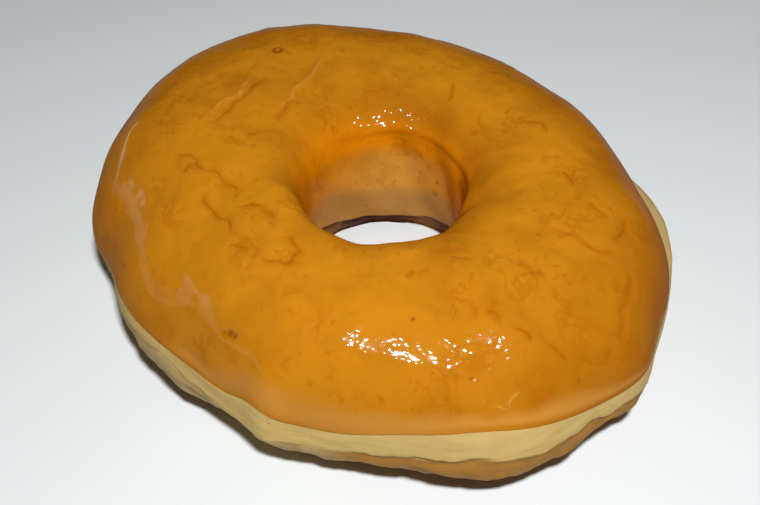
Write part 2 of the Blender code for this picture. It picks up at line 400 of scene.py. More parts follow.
def pits_of(points):
    """Height of the pits, the domes and the bubble, and how dark each point is."""
    height = np.zeros(points.shape[:-1])
    dark = np.zeros(points.shape[:-1])
    for direction, turn, depth, half_width, darkness in PITS:
        near = bell(gap_to(points, direction, turn), half_width)
        height -= depth * near
        dark = np.maximum(dark, darkness * near)
    for direction, turn, rise, half_width in DOMES:
        height += rise * bell(gap_to(points, direction, turn), half_width)
    direction, turn, rise, half_width = BUBBLE
    radius, ring_half_width, darkness = BUBBLE_RING
    gap = gap_to(points, direction, turn)
    ring = bell(gap - radius, ring_half_width)
    height += rise * bell(gap, half_width) - rise * ring
    return height, np.maximum(dark, darkness * ring)


# %% [markdown]
# ## A ring mesh from rows of points
#
# Both pieces are closed rings whose section is a loop of rows. Blender's torus would do, but it
# stops at 256 segments, too few for folds a millimetre wide. So the faces are made from the
# grid of points: each point joins the next in its row and the next direction, and the grid
# closes both ways. Values that the materials need go on the points too.

# %% Make a ring of given points
scene = bpy.context.scene


def add_object(name, data):
    new_object = bpy.data.objects.new(name, data)
    scene.collection.objects.link(new_object)
    return new_object


def make_ring(name, points, values, material):
    """A closed ring, its points as directions by rows by three, with named values on them."""
    here = np.arange(points[..., 0].size).reshape(points.shape[:2])
    beside = np.roll(here, -1, axis=0)
    corners = (here, beside, np.roll(beside, -1, axis=1), np.roll(here, -1, axis=1))
    faces = np.stack(corners, -1).reshape(-1, 4)
    mesh = bpy.data.meshes.new(name)
    mesh.from_pydata((points * MILLIMETRE).reshape(-1, 3), [], faces.tolist())
    for label, value in values.items():
        attribute = mesh.attributes.new(label, "FLOAT", "POINT")
        attribute.data.foreach_set("value", value.astype(np.float32).reshape(-1))
    mesh.update()
    mesh.shade_smooth()
    mesh.materials.append(material)
    print(name, len(faces) * 2, "triangles")
    return add_object(name, mesh)


# %% [markdown]
# ## Node groups that several finishes share
#
# The coat, the band and the underside vary in the same few ways: a soft mottle, fine wrinkled
# lines and small pores. Each is one node group with its own inputs, so every material can place
# it with its own values. Sizes are in millimetres here too.

# %% A helper to build node groups
def new_group(name, **usual_values):
    """A shader node group that turns named numbers into a mask: its tree, inputs and output."""
    tree = bpy.data.node_groups.new(name, "ShaderNodeTree")
    for label, usual in usual_values.items():
        socket = tree.interface.new_socket(label, in_out="INPUT", socket_type="NodeSocketFloat")
        socket.default_value = usual
    tree.interface.new_socket("Mask", in_out="OUTPUT", socket_type="NodeSocketFloat")
    given = tree.nodes.new("NodeGroupInput").outputs
    return tree, given, tree.nodes.new("NodeGroupOutput").inputs["Mask"]


def feed(tree, socket, value):
    """Sets a socket to a number, or links it to the socket that gives the value."""
    if isinstance(value, bpy.types.NodeSocket):
        tree.links.new(value, socket)
    else:
        socket.default_value = value


def calculate(tree, operation, first, second=None, clamp=False):
    """A Math node; each value is a number or the socket that gives it."""
    node = tree.nodes.new("ShaderNodeMath")
    node.operation = operation
    node.use_clamp = clamp
    feed(tree, node.inputs[0], first)
    if second is not None:
        feed(tree, node.inputs[1], second)
    return node.outputs[0]


def times(tree, first, second):
    return calculate(tree, "MULTIPLY", first, second)


def spread(tree, value, low, high):
    """A Map Range node that eases from 0 at low to 1 at high."""
    node = tree.nodes.new("ShaderNodeMapRange")
    node.interpolation_type = "SMOOTHSTEP"
    feed(tree, node.inputs["Value"], value)
    feed(tree, node.inputs["From Min"], low)
    feed(tree, node.inputs["From Max"], high)
    return node.outputs["Result"]


def place_in_millimetres(tree):
    """The place on the object, in millimetres."""
    place = tree.nodes.new("ShaderNodeTexCoord")
    scale = tree.nodes.new("ShaderNodeVectorMath")
    scale.operation = "SCALE"
    scale.inputs["Scale"].default_value = 1 / MILLIMETRE
    tree.links.new(place.outputs["Object"], scale.inputs[0])
    return scale.outputs[0]


def noise_at(tree, size, detail=2.0, roughness=0.5, distortion=0.0, seed=0.0):
    """Blender's noise with lumps of a size in millimetres."""
    node = tree.nodes.new("ShaderNodeTexNoise")
    node.noise_dimensions = "4D"
    feed(tree, node.inputs["W"], seed)
    node.inputs["Detail"].default_value = detail
    node.inputs["Roughness"].default_value = roughness
    node.inputs["Distortion"].default_value = distortion
    tree.links.new(place_in_millimetres(tree), node.inputs["Vector"])
    if isinstance(size, bpy.types.NodeSocket):
        tree.links.new(calculate(tree, "DIVIDE", 1.0, size), node.inputs["Scale"])
    else:
        node.inputs["Scale"].default_value = 1 / size
    return node.outputs["Fac"]


# %% Group: mottle
tree, given, result = new_group("mottle", Size=8.0, Low=0.35, High=0.65)
mottle_group = tree
field = noise_at(tree, given["Size"], detail=4.0, roughness=0.55, distortion=0.4)
tree.links.new(spread(tree, field, given["Low"], given["High"]), result)
print("mottle:", len(tree.nodes), "nodes")

# %% [markdown]
# Wrinkles in a set glaze run as thin wandering lines that start and stop. A line where a noise
# passes through its middle value wanders just so, and a second, larger noise breaks it up.

# %% Group: wrinkle lines
WRINKLE_PATCH_SIZE = 6.0
PATCH_EDGE = 0.12

tree, given, result = new_group("wrinkle_lines", Size=6.0, Width=0.02, Kept=0.5, Seed=0.0)
wrinkle_group = tree
field = noise_at(tree, given["Size"], distortion=0.6, seed=given["Seed"])
off_middle = calculate(tree, "ABSOLUTE", calculate(tree, "SUBTRACT", field, 0.5))
line = spread(tree, off_middle, given["Width"], 0.0)
patches = noise_at(tree, WRINKLE_PATCH_SIZE, detail=1.0, seed=4.0)
kept_low = calculate(tree, "SUBTRACT", 1.0, given["Kept"])
kept = spread(tree, patches, kept_low, calculate(tree, "ADD", kept_low, PATCH_EDGE))
tree.links.new(times(tree, line, kept), result)
print("wrinkle lines:", len(tree.nodes), "nodes")

# %% [markdown]
# Pores in the dough and the small round drops that stand on the coat are the same thing, one
# sunk and one raised: round caps at scattered cells of a Voronoi texture, only some of them
# kept. The cap is a parabola, so its slope runs evenly from the middle to the rim, and somewhere
# on it there is a spot that mirrors the light. That is what makes the coat glitter.

# %% Group: round caps
tree, given, result = new_group("round_caps", Spacing=2.0, Radius=0.2, Share=0.3)
cap_group = tree
cells = tree.nodes.new("ShaderNodeTexVoronoi")
tree.links.new(place_in_millimetres(tree), cells.inputs["Vector"])
tree.links.new(calculate(tree, "DIVIDE", 1.0, given["Spacing"]), cells.inputs["Scale"])
reach = calculate(tree, "DIVIDE", given["Radius"], given["Spacing"])
share_out = calculate(tree, "DIVIDE", cells.outputs["Distance"], reach)
cap = calculate(tree, "SUBTRACT", 1.0, calculate(tree, "POWER", share_out, 2.0), clamp=True)
split = tree.nodes.new("ShaderNodeSeparateColor")
tree.links.new(cells.outputs["Color"], split.inputs[0])
chosen = calculate(tree, "LESS_THAN", split.outputs[0], given["Share"])
tree.links.new(times(tree, cap, chosen), result)
print("node groups:", [group.name for group in bpy.data.node_groups])


# %% Helpers for the materials
def new_material(name):
    material = bpy.data.materials.new(name)
    material.use_nodes = True
    return material, material.node_tree, material.node_tree.nodes["Principled BSDF"]


def use_group(tree, group, **values):
    """Places a node group with its own values and gives its mask."""
    node = tree.nodes.new("ShaderNodeGroup")
    node.node_tree = group
    for label, value in values.items():
        node.inputs[label].default_value = value
    return node.outputs["Mask"]


def carried(tree, label):
    """A named value that the mesh carries on its points."""
    node = tree.nodes.new("ShaderNodeAttribute")
    node.attribute_name = label
    return node.outputs["Fac"]


def blend(tree, share, first, second):
    """One colour where the share is 0, the other where it is 1."""
    node = tree.nodes.new("ShaderNodeMix")
    node.data_type = "RGBA"
    feed(tree, node.inputs["Factor"], share)
    colour_inputs = [socket for socket in node.inputs if socket.type == "RGBA"]
    for socket, colour in zip(colour_inputs, (first, second)):
        if isinstance(colour, bpy.types.NodeSocket):
            tree.links.new(colour, socket)
        else:
            socket.default_value = (*colour, 1.0)
    return [socket for socket in node.outputs if socket.type == "RGBA"][0]


def lay_over(tree, colour, above, mask, most):
    """Lays one colour over another where a mask is, up to a share."""
    return blend(tree, times(tree, mask, most), colour, above)


def add_bump(tree, shader, height, distance_mm):
    """Feeds a height, as a share of a distance in millimetres, to the base and the clear layer."""
    node = tree.nodes.new("ShaderNodeBump")
    node.inputs["Distance"].default_value = distance_mm * MILLIMETRE
    tree.links.new(height, node.inputs["Height"])
    for label in ("Normal", "Coat Normal"):
        tree.links.new(node.outputs["Normal"], shader.inputs[label])


# %% [markdown]
# ## The orange coat
#
# The coat is a thick, clear, even orange: amber on the flat of the top and darker where it
# gathers in folds, with painted shade beside the grooves and a painted highlight on the ridges.
# Toward the sides it is deeper, partly its own tone and partly painted shade, most of all on the
# far sides. Down the hole it is lighter and more golden, which is painted light, with a painted
# reflection of the floor low on the wall. Its colour could be painted, but here it is laid on in
# layers, as a glaze is: first the zones, which the points carry, then the clouds, flecks and
# veins inside it, then the folds and the thin edge.

# %% Material: orange glaze, its zones
AMBER = (0.560, 0.215, 0.008)
DEEP_ORANGE = (0.255, 0.063, 0.001)
HOLE_PAINTED_LIGHT_ORANGE = (0.705, 0.230, 0.002)
HOLE_PAINTED_LIGHT_GOLD = (0.780, 0.375, 0.052)
HOLE_PAINTED_SHEEN_TAN = (0.500, 0.250, 0.070)
# The side zone's deep orange is partly painted shade. The lighter orange and gold down the hole are
# painted light, and the tan low in the hole is a painted reflection of the floor.
ZONES = {"side": DEEP_ORANGE, "hole": HOLE_PAINTED_LIGHT_ORANGE, "far_wall_painted_light": HOLE_PAINTED_LIGHT_GOLD, "hole_low_painted_sheen": HOLE_PAINTED_SHEEN_TAN}

glaze, tree, shader = new_material("orange_glaze")
colour = AMBER
for zone, zone_colour in ZONES.items():
    colour = blend(tree, carried(tree, zone), colour, zone_colour)
print("zones of the coat:", list(ZONES))

# %% Material: orange glaze, its clouds, flecks and veins
FOLD_ORANGE = (0.370, 0.088, 0.001)
CLOUD_SHARE = 0.3
FLECK_SHARE = 0.4
VEIN_SHARE = 0.35
VEIN_FREE_HOLE = 0.6

cloud = use_group(tree, mottle_group, Size=9.0, Low=0.42, High=0.7)
colour = lay_over(tree, colour, DEEP_ORANGE, cloud, CLOUD_SHARE)
flecks = use_group(tree, mottle_group, Size=1.3, Low=0.54, High=0.68)
in_patches = use_group(tree, mottle_group, Size=7.0, Low=0.4, High=0.6)
colour = lay_over(tree, colour, FOLD_ORANGE, flecks, times(tree, in_patches, FLECK_SHARE))
veins = use_group(tree, wrinkle_group, Size=7.0, Width=0.05, Kept=0.47)
small_veins = use_group(tree, wrinkle_group, Size=3.5, Width=0.06, Kept=0.46, Seed=5.0)
vein_sum = calculate(tree, "MAXIMUM", veins, small_veins)
outside_hole = spread(tree, carried(tree, "far_wall_painted_light"), VEIN_FREE_HOLE, 0.0)
colour = lay_over(tree, colour, FOLD_ORANGE, vein_sum, times(tree, outside_hole, VEIN_SHARE))
print("so far:", len(tree.nodes), "nodes")

# %% Material: orange glaze, its folds, thin edge and pits
RIDGE_PAINTED_HIGHLIGHT = (0.640, 0.300, 0.060)
THIN_ORANGE = (0.510, 0.215, 0.030)
PIT_BROWN = (0.150, 0.012, 0.001)
FOLD_LINE = (0.45, 0.05)
FOLD_SHADE = (1.5, 0.0)
SHADE_SHARE = 0.3
LINE_SHARE = 0.62
RIDGE_HIGHLIGHT_SHARE = 0.4
CREASE_SHADE_SHARE = 0.6

from_fold = calculate(tree, "ABSOLUTE", carried(tree, "fold_side"))
dark = carried(tree, "fold_dark")
broken = use_group(tree, mottle_group, Size=2.2, Low=0.3, High=0.55)
line = times(tree, spread(tree, from_fold, *FOLD_LINE), times(tree, dark, broken))
shade = times(tree, spread(tree, from_fold, *FOLD_SHADE), dark)
light = times(tree, carried(tree, "fold_highlight"), broken)
ridge_highlight = times(tree, spread(tree, from_fold, *FOLD_LINE), light)
# Around each groove the wider darker band is painted shade, and the thin dark line is partly the coat
# gathered in the groove and partly painted shade.
colour = lay_over(tree, colour, FOLD_ORANGE, shade, SHADE_SHARE)
colour = lay_over(tree, colour, FOLD_ORANGE, line, LINE_SHARE)
# The gold along the ridges is a painted highlight.
colour = lay_over(tree, colour, RIDGE_PAINTED_HIGHLIGHT, ridge_highlight, RIDGE_HIGHLIGHT_SHARE)
# The dark orange along the crease inside the hole is painted shade.
colour = lay_over(tree, colour, FOLD_ORANGE, carried(tree, "crease"), CREASE_SHADE_SHARE)
colour = blend(tree, carried(tree, "thin"), colour, THIN_ORANGE)
colour = blend(tree, carried(tree, "pit"), colour, PIT_BROWN)
tree.links.new(colour, shader.inputs["Base Color"])
print("colour of the glaze:", len(tree.nodes), "nodes")

# %% [markdown]
# A clear layer over a matt base gives the coat both its waxy body and its sharp highlights. The
# layer is stronger along the top, where the coat shines most. Ripples bend the highlights, and
# round caps in chosen showers break them into drops.

# %% Material: orange glaze, its gloss
DRY_WEIGHT = 0.08
DEWY_WEIGHT = 0.2
SHOWER_WEIGHT = 0.18

shader.inputs["Roughness"].default_value = 0.5
shader.inputs["Specular IOR Level"].default_value = 0.0
shader.inputs["Coat Roughness"].default_value = 0.1
shader.inputs["Coat IOR"].default_value = 1.6
dewy_share = carried(tree, "dewy")
shower_share = carried(tree, "shower")
wet = times(tree, dewy_share, DEWY_WEIGHT - DRY_WEIGHT)
wet = calculate(tree, "ADD", wet, times(tree, shower_share, SHOWER_WEIGHT))
tree.links.new(calculate(tree, "ADD", wet, DRY_WEIGHT), shader.inputs["Coat Weight"])
print("clear layer:", DRY_WEIGHT, "to", DEWY_WEIGHT)

# %% Material: orange glaze, its fine relief
CAP_HEIGHT = 0.06
SMALL_CAP_HEIGHT = 0.03
RIPPLE_SIZE = 3.5
RIPPLE_HEIGHT = 0.14
SIDE_RIPPLES = 0.1
VEIN_DEPTH = 0.02

ripples = noise_at(tree, RIPPLE_SIZE, detail=1.5, seed=7.0)
smooth = times(tree, ripples, RIPPLE_HEIGHT)
smooth = calculate(tree, "SUBTRACT", smooth, times(tree, vein_sum, VEIN_DEPTH))
caps = use_group(tree, cap_group, Spacing=1.45, Radius=0.72, Share=0.75)
small_caps = use_group(tree, cap_group, Spacing=0.95, Radius=0.45, Share=0.8)
drops = times(tree, caps, CAP_HEIGHT)
drops = calculate(tree, "MAXIMUM", drops, times(tree, small_caps, SMALL_CAP_HEIGHT))
drops = times(tree, drops, shower_share)
rippled = calculate(tree, "ADD", times(tree, dewy_share, 1 - SIDE_RIPPLES), SIDE_RIPPLES)
relief = calculate(tree, "ADD", drops, times(tree, smooth, rippled))
add_bump(tree, shader, relief, 1.0)
print("orange glaze:", len(tree.nodes), "nodes")

# %% [markdown]
# ## The dough
#
# The dough below the coat is pale where it stood clear of the heat and tan below the seam, more
# so on one side than on the other, and browned under the base and in the hole. Its brown is
# darkened with painted shade toward the base and down the hole below the coat, and the ledge
# that juts out gets painted shade in tan. One material holds all of it, because on the real
# object it is one surface. The distance above the seam and the share of browning are carried on
# the points and say which is where.

# %% Material: dough, its colour
CREAM = (0.590, 0.420, 0.145)
WARM_CREAM = (0.560, 0.365, 0.110)
PALE_TAN = (0.430, 0.300, 0.130)
TAN = (0.345, 0.150, 0.018)
SEAM_BROWN = (0.250, 0.120, 0.030)
BROWN = (0.170, 0.070, 0.018)
MAROON_SHADE = (0.070, 0.014, 0.006)
WARM_BROWN = (0.240, 0.085, 0.012)
SEAM_RAGGEDNESS = 1.2
SEAM_LINE = (0.5, 0.1)
SEAM_EDGE = (-0.3, 0.2)
BROWN_AND_SHADE_BELOW = (-4.0, -8.0)
BAND_TAN_SHARE = 0.3
BROWNED_SHARE = 0.45
LEDGE_SHADE_SHARE = 0.6
PORE_SHARE = 0.25

dough, tree, shader = new_material("dough")
above_seam = carried(tree, "above_seam")
tanned = carried(tree, "tanned")
ragged = calculate(tree, "SUBTRACT", noise_at(tree, 1.8, detail=3.0, roughness=0.55, seed=1.0), 0.5)
level = calculate(tree, "ADD", above_seam, times(tree, ragged, SEAM_RAGGEDNESS))
band = blend(tree, use_group(tree, mottle_group, Size=5.0, Low=0.35, High=0.75), CREAM, WARM_CREAM)
band = lay_over(tree, band, PALE_TAN, tanned, BAND_TAN_SHARE)
under = blend(tree, tanned, PALE_TAN, TAN)
browned = use_group(tree, mottle_group, Size=3.0, Low=0.45, High=0.75)
under = lay_over(tree, under, BROWN, browned, BROWNED_SHARE)
# Toward the base the brown deepens: browned dough, darkened further with painted shade under the
# undercut.
under = blend(tree, spread(tree, level, *BROWN_AND_SHADE_BELOW), under, BROWN)
colour = blend(tree, spread(tree, level, *SEAM_EDGE), under, band)
# The tan on the ledge is painted shade.
colour = lay_over(tree, colour, PALE_TAN, carried(tree, "ledge"), LEDGE_SHADE_SHARE)
seam_line = spread(tree, calculate(tree, "ABSOLUTE", level), *SEAM_LINE)
colour = lay_over(tree, colour, SEAM_BROWN, seam_line, tanned)
pores = use_group(tree, cap_group, Spacing=1.8, Radius=0.3, Share=0.25)
colour = lay_over(tree, colour, BROWN, pores, PORE_SHARE)
# Down the hole below the coat the dough is dark maroon, browned dough darkened with painted shade, and
# a warmer brown at two places.
hole_brown_and_shade = blend(tree, carried(tree, "warm"), MAROON_SHADE, WARM_BROWN)
colour = blend(tree, carried(tree, "in_hole"), colour, hole_brown_and_shade)
tree.links.new(colour, shader.inputs["Base Color"])
print("colour of the dough:", len(tree.nodes), "nodes")

# %% Material: dough, its satin and its grain
GRAIN_SIZE = 1.0
GRAIN_DEPTH = 0.06

shader.inputs["Roughness"].default_value = 0.55
shader.inputs["Specular IOR Level"].default_value = 0.05
shader.inputs["Coat Weight"].default_value = 0.02
shader.inputs["Coat Roughness"].default_value = 0.3
grain = noise_at(tree, GRAIN_SIZE, detail=2.0, seed=3.0)
add_bump(tree, shader, calculate(tree, "SUBTRACT", grain, pores), GRAIN_DEPTH)
print("dough:", len(tree.nodes), "nodes")

# %% [markdown]
# ## The coat as a piece
#
# The coat is a thin shell with a rounded lip at both ends: one above the pale band, one at the
# bottom of the hole. Its section is a loop that runs over the outside, round the hole's lip,
# back under the coat and round the outer lip. The underside has wide rows, as nobody sees it.

# %% The coat's loop of rows
COAT_DIRECTIONS = 640
COAT_OUTER_ROWS = 134
COAT_INNER_ROWS = 12
LIP_ROWS = 4
COAT_THICKNESS = 0.45
COAT_END_TURN = 219.0
COAT_END_LOBES = ((5, 1.0, 20.0), (9, 0.8, 3.0), (17, 0.6, 8.0))
COAT_END_DRIPS = ((132.0, 16.0, 33.0),)

around = np.linspace(0, 2 * np.pi, COAT_DIRECTIONS, endpoint=False)
edge = coat_edge_turn(around)
end = np.radians(varied(around, COAT_END_TURN, COAT_END_LOBES, COAT_END_DRIPS))
outer_turns = even_turns(around, edge, end, COAT_OUTER_ROWS)
inner_turns = even_turns(around, end, edge, COAT_INNER_ROWS)
lip_angles = np.linspace(0, np.pi, LIP_ROWS + 2)[1:-1]
lip_depth = COAT_THICKNESS / 2 * (1 - np.cos(lip_angles))
lip_reach = COAT_THICKNESS / 2 * np.sin(lip_angles)
ones = np.ones((COAT_DIRECTIONS, 1))
turns = np.concatenate([outer_turns, end[:, None] * np.ones(LIP_ROWS), inner_turns,
                        edge[:, None] * np.ones(LIP_ROWS)], axis=1)
depth = np.concatenate([np.zeros(COAT_OUTER_ROWS), lip_depth,
                        np.full(COAT_INNER_ROWS, COAT_THICKNESS), lip_depth[::-1]]) * ones
reach = np.concatenate([np.zeros(COAT_OUTER_ROWS), lip_reach,
                        np.zeros(COAT_INNER_ROWS), -lip_reach[::-1]]) * ones
direction = around[:, None] + 0 * turns
plain = placed(direction, turns)
print("coat:", COAT_DIRECTIONS, "directions by", turns.shape[1], "rows")

# %% Where the coat is dewy, and where drops stand on it: direction, turn, half width, strength
DEWY_TURNS = np.radians((37, 46, 145, 158))
SHOWERS = ((108.0, 136.0, 3.0, 1.6), (125.0, 137.0, 5.0, 2.0), (143.0, 137.0, 4.5, 2.0),
           (163.0, 133.0, 3.5, 1.6), (132.0, 122.0, 2.5, 1.6),
           (296.0, 52.0, 4.0, 0.7), (307.0, 50.0, 3.5, 1.0), (319.0, 48.0, 4.5, 1.0),
           (332.0, 49.0, 4.5, 1.0), (343.0, 51.0, 4.5, 1.0))

dewy = between(turns, *DEWY_TURNS)
shower = np.zeros(plain.shape[:-1])
for shower_direction, shower_turn, half_width, strength in SHOWERS:
    near = bell(gap_to(plain, shower_direction, shower_turn), half_width)
    shower = np.maximum(shower, strength * near)
print("dewy share of the coat:", dewy.mean().round(2))

# %% [markdown]
# The coat is not as smooth as its form. Soft lumps, folds and pits move its surface, long low
# swells bend it, and it flattens a little behind the hole. One long crease runs inside the hole
# and a ridge stands above it, round one side. All of this fades out at both ends of the coat,
# so that it still meets the dough.

# %% The coat's relief: lumps, swells, and the lip and crease of the hole
COAT_LUMPS = ((0.10, 6.0, 0.0), (0.05, 2.2, 5.0))
CALM_SHARE = 0.2
SWELLS = ((5, 2, 0.16), (9, 3, 0.12), (13, 5, 0.08))
LIP_TURN = np.radians(149.0)
LIP_HALF_TURN = np.radians(7.0)
LIP_STRETCH = (112.0, 0.45, 60.0)
LIP_CREASE_TURN = 163.0
LIP_CREASE_RISE = (110.0, -12.0, 45.0)
LIP_CREASE_HALF_TURN = np.radians(1.7)
LIP_CREASE_STRETCH = (100.0, 1.0, 48.0)
LIP_CREASE_DEPTH = 0.15
LIP_FLAT_TURN = np.radians(137.0)
LIP_FLAT_HALF_TURN = np.radians(12.0)
LIP_FLAT_STRETCH = (130.0, 1.0, 22.0)
LIP_FLAT_DEPTH = 0.14
FADES_OVER = 2.5

fold_height, fold_side, fold_dark, fold_highlight = folds_of(plain)
pit_height, pit_dark = pits_of(plain)
raised = lumpy(plain, *COAT_LUMPS)
raised = raised * (CALM_SHARE + (1 - CALM_SHARE) * dewy) + fold_height + pit_height
for round_ring, round_section, size in SWELLS:
    raised = raised + size * np.sin(round_ring * direction + round_section * turns)
lip = bell(turns - LIP_TURN, LIP_HALF_TURN)
raised = raised + lip * only_at(direction, LIP_STRETCH)
crease_turn = np.radians(varied(direction, LIP_CREASE_TURN, (), (LIP_CREASE_RISE,)))
crease = bell(turns - crease_turn, LIP_CREASE_HALF_TURN)
crease = crease * only_at(direction, LIP_CREASE_STRETCH)
raised = raised - LIP_CREASE_DEPTH * crease
flat = bell(turns - LIP_FLAT_TURN, LIP_FLAT_HALF_TURN)
raised = raised - LIP_FLAT_DEPTH * flat * only_at(direction, LIP_FLAT_STRETCH)
hidden = np.zeros((COAT_DIRECTIONS, turns.shape[1] - COAT_OUTER_ROWS))
from_edge = length_along(direction[:, :COAT_OUTER_ROWS], outer_turns)
to_end = from_edge[:, -1:] - from_edge
fading = smooth_step(np.minimum(from_edge, to_end), 0.0, FADES_OVER)
fading = np.concatenate([fading, hidden], axis=1)
from_edge = np.concatenate([from_edge, hidden], axis=1)
coat_points = placed(direction, turns, raised * fading - depth, reach)
print("coat raised by", raised.min().round(2), "to", raised.max().round(2), "mm")

# %% The coat's zones of colour, as shares from 0 to 1
# Deeper orange toward the sides is partly the coat's own tone and partly painted shade, and the far
# sides get more of it as painted shade.
SIDE_TONE_AND_SHADE = 0.85
SIDE_POWER = 0.8
FAR_SIDE_SHADE = (1, 0.6, 90.0)
# Down the hole the coat is painted lighter, and gold on the far wall: both are painted light.
HOLE_TURNS = np.radians((125, 165))
HOLE_LIGHT_TURNS = np.radians((162, 192))
HOLE_FACING = (130.0, 1.0, 42.0)
# Low on the hole's wall a pale tan is a painted reflection of the floor, reaching higher at two
# directions.
HOLE_LOW_TURN = 198.0
HOLE_LOW_RISES = ((180.0, -12.0, 20.0), (92.0, -8.0, 12.0))
HOLE_LOW_OVER = np.radians(14)
HOLE_PAINTED_SHEEN_SHARE = 0.8

side_tone_and_shade_share = np.clip(1 - np.sin(np.clip(turns, 0, NARROWEST)), 0, 1) ** SIDE_POWER
side_tone_and_shade_share = np.clip(side_tone_and_shade_share * varied(direction, SIDE_TONE_AND_SHADE, (FAR_SIDE_SHADE,)), 0, 1)
hole_painted_light_share = smooth_step(turns, *HOLE_TURNS)
far_wall_painted_light_share = smooth_step(turns, *HOLE_LIGHT_TURNS) * only_at(direction, HOLE_FACING)
hole_low_turn = np.radians(varied(direction, HOLE_LOW_TURN, (), HOLE_LOW_RISES))
hole_low_painted_sheen_share = HOLE_PAINTED_SHEEN_SHARE * smooth_step(turns - hole_low_turn, 0.0, HOLE_LOW_OVER)
print("mean side share:", side_tone_and_shade_share.mean().round(2))

# %% Where the coat is thin at its edge, then make the piece
THIN_REACH = 1.0
THIN_WIDER = ((292.0, 6.5, 22.0), (325.0, 2.0, 12.0), (350.0, 3.5, 14.0))
THIN_LUMPS = (0.8, 4.0, 4.0)
THINNEST_REACH = 0.3
THIN_FULL_SHARE = 0.3
THIN_AT_EDGE = (314.0, 1.0, 14.0)
ORANGE_EDGE = (0.2, 1.2)

thin_reach = varied(direction, THIN_REACH, (), THIN_WIDER) + lumpy(plain, THIN_LUMPS)
thin_reach = np.maximum(thin_reach, THINNEST_REACH)
orange_edge = 1 - only_at(direction, THIN_AT_EDGE)
off_edge = 1 - orange_edge * (1 - smooth_step(from_edge, *ORANGE_EDGE))
thin_share = off_edge * (1 - smooth_step(from_edge, THIN_FULL_SHARE * thin_reach, thin_reach))
glaze_coat = make_ring("glaze_coat", coat_points, {
    "side": side_tone_and_shade_share,
    "hole": hole_painted_light_share,
    "far_wall_painted_light": far_wall_painted_light_share,
    "hole_low_painted_sheen": hole_low_painted_sheen_share,
    "thin": thin_share,
    "crease": crease,
    "dewy": dewy,
    "shower": shower,
    "fold_side": fold_side,
    "fold_dark": fold_dark,
    "fold_highlight": fold_highlight,
    "pit": pit_dark,
}, glaze)

# %% [markdown]
# ## The dough body as a piece
#
# The dough is one closed ring under the coat. Its rows run across the base, up the undercut,
# over the seam and the band, under the coat and down the hole. The rows are close where the
# dough shows and wide where the coat covers it.

# %% The dough's loop of rows
DOUGH_DIRECTIONS = 600
UNDERCUT_ROWS = 40
BAND_ROWS = 44
COVERED_ROWS = 26
FLARE_ROWS = 26
BASE_ROWS = 24
COVER_OVERLAP = 3.0

around = np.linspace(0, 2 * np.pi, DOUGH_DIRECTIONS, endpoint=False)
rim = np.full(DOUGH_DIRECTIONS, OUTER_RIM)
inner_rim = np.full(DOUGH_DIRECTIONS, INNER_RIM)
seam = seam_turn(around)
edge = coat_edge_turn(around)
hole_end = np.radians(varied(around, COAT_END_TURN, COAT_END_LOBES, COAT_END_DRIPS) - COVER_OVERLAP)
overlap = np.radians(COVER_OVERLAP)
turns = np.concatenate([
    even_turns(around, rim, seam, UNDERCUT_ROWS),
    even_turns(around, seam, edge + overlap, BAND_ROWS + 1)[:, 1:],
    even_turns(around, edge + overlap, hole_end, COVERED_ROWS + 1)[:, 1:],
    even_turns(around, hole_end, inner_rim, FLARE_ROWS + 1)[:, 1:],
], axis=1)
direction = around[:, None] + 0 * turns
plain = placed(direction, turns)
print("dough:", DOUGH_DIRECTIONS, "directions by", turns.shape[1], "rows and", BASE_ROWS, "more")

# %% How far the dough lies below the form, so that the coat covers it
BAND_DIP = 0.12
COVERED_DEPTH = 0.38
COVERED_DEEPER = 1.2
DEEPER_OVER = np.radians(14.0)
COVER_START = -0.01
COVER_SHARE = 0.6
HOLE_STEP_DEPTH = 0.7
INSIDE_RIM = INNER_RIM - 0.1

edge_column = edge[:, None]
seam_column = seam[:, None]
end_column = hole_end[:, None]
cover_end = edge_column + overlap * COVER_SHARE
covered = between(turns, edge_column + COVER_START, cover_end, end_column, end_column + overlap)
under_edge = np.clip((turns - seam_column) / (edge_column - seam_column), 0, 1) * (turns <= edge_column)
raised = -BAND_DIP * under_edge - COVERED_DEPTH * covered
low = edge_column + overlap
high = end_column - overlap
deeper = between(turns, low, low + DEEPER_OVER, high - DEEPER_OVER, high)
raised = raised - COVERED_DEEPER * deeper
below_coat = smooth_step(turns, end_column, end_column + 2 * overlap)
raised = raised - HOLE_STEP_DEPTH * below_coat * (turns < INSIDE_RIM)
print("dough below the form by up to", -raised.min().round(2), "mm")

# %% The dough's seam, and the stretch where it is pale
TANNED_SHARE = 0.9
PALE_SHARE = 0.1
PALE_STRETCH = np.radians((195.0, 215.0, 299.0, 309.0))
SEAM_DEPTH = 0.45
SEAM_HALF_WIDTH = 0.4
SEAM_WANDER = ((0.35, 3.0, 1.0), (0.2, 1.5, 6.0))
GROOVE_MEAN = 0.75
GROOVE_LUMPS = (0.4, 5.0, 2.0)
PALE_SHALLOWER = 0.4

pale = between(direction, *PALE_STRETCH)
tanned = TANNED_SHARE + (PALE_SHARE - TANNED_SHARE) * pale
along = length_along(direction, turns)
above_seam = along - along[:, UNDERCUT_ROWS - 1:UNDERCUT_ROWS]
wandering_seam = above_seam + lumpy(plain, *SEAM_WANDER)
groove_depth = SEAM_DEPTH * (GROOVE_MEAN + lumpy(plain, GROOVE_LUMPS)) * (1 - PALE_SHALLOWER * pale)
raised = raised - groove_depth * bell(wandering_seam, SEAM_HALF_WIDTH)
print("seam groove in mm:", groove_depth.min().round(2), "to", groove_depth.max().round(2))

# %% [markdown]
# Below the seam the dough tore and browned. Its folds lie across the side, so the soft lumps
# that raise them are drawn out round the ring: the points are squeezed in X and Y before the
# noise is read. The torn part fades out at the seam and at the base.

